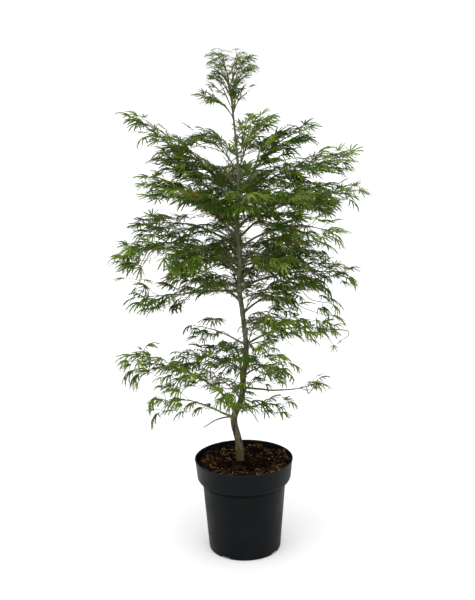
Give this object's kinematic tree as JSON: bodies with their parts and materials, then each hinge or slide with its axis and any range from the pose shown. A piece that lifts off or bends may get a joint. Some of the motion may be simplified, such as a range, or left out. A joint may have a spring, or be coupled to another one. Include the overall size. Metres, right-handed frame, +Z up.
{
  "type": "potted laceleaf maple",
  "caption": "Young laceleaf maple with a slender trunk, arching boughs and layered finely cut green leaves, standing in a tapered black nursery pot of compost.",
  "frame": {"origin": "centre of the pot's underside, on the surface it stands on", "axes": "+Z up along the trunk, +X to the plant's right as pictured, -Y towards the camera"},
  "size_m": [0.4807, 0.3417, 0.9365],
  "materials": {
    "pot": "black moulded plastic with a soft satin sheen",
    "compost": "dark fibrous peat and bark compost with pale specks",
    "trunk_bark": "grey-brown young bark, finely furrowed, with a green bloom of moss low down",
    "bough_bark": "smooth olive-brown young bark",
    "foliage": "thin matt green leaves on green twigs"
  },
  "bodies": {
    "root": {"bough_arch_left": "bough_bark", "bough_arm_right": "bough_bark", "bough_crown_left": "bough_bark", "bough_crown_right": "bough_bark", "bough_long_left": "bough_bark", "bough_long_upper_left": "bough_bark", "bough_low_left": "bough_bark", "bough_reach_right": "bough_bark", "bough_rise_right": "bough_bark", "bough_rise_upper_right": "bough_bark", "bough_shelf_left": "bough_bark", "bough_shelf_mid_left": "bough_bark", "bough_shelf_upper_left": "bough_bark", "bough_shelf_upper_right": "bough_bark", "bough_spread_left": "bough_bark", "bough_tip_right": "bough_bark", "bough_whip_right": "bough_bark", "compost": "compost", "leaves_arch_left": "foliage", "leaves_arm_right": "foliage", "leaves_crown_back": "foliage", "leaves_crown_left": "foliage", "leaves_crown_right": "foliage", "leaves_fan_left": "foliage", "leaves_fan_mid_left": "foliage", "leaves_hang_right": "foliage", "leaves_long_left": "foliage", "leaves_long_upper_left": "foliage", "leaves_low_back": "foliage", "leaves_low_front": "foliage", "leaves_low_left": "foliage", "leaves_low_right": "foliage", "leaves_low_right_back": "foliage", "leaves_mid_back": "foliage", "leaves_mid_left_front": "foliage", "leaves_mid_right_back": "foliage", "leaves_mid_right_front": "foliage", "leaves_reach_right": "foliage", "leaves_rise_right": "foliage", "leaves_rise_upper_left": "foliage", "leaves_rise_upper_right": "foliage", "leaves_shelf_left": "foliage", "leaves_shelf_mid_left": "foliage", "leaves_shelf_upper_left": "foliage", "leaves_shelf_upper_right": "foliage", "leaves_spread_left": "foliage", "leaves_tip_right": "foliage", "leaves_top": "foliage", "leaves_top_left": "foliage", "leaves_top_mid_left": "foliage", "leaves_top_mid_right": "foliage", "leaves_top_right": "foliage", "leaves_upper_back": "foliage", "leaves_upper_back_left": "foliage", "leaves_upper_front": "foliage", "leaves_upper_left_front": "foliage", "leaves_upper_right_front": "foliage", "leaves_whip_right": "foliage", "pot": "pot", "trunk": "trunk_bark"}
  },
  "joints": []
}
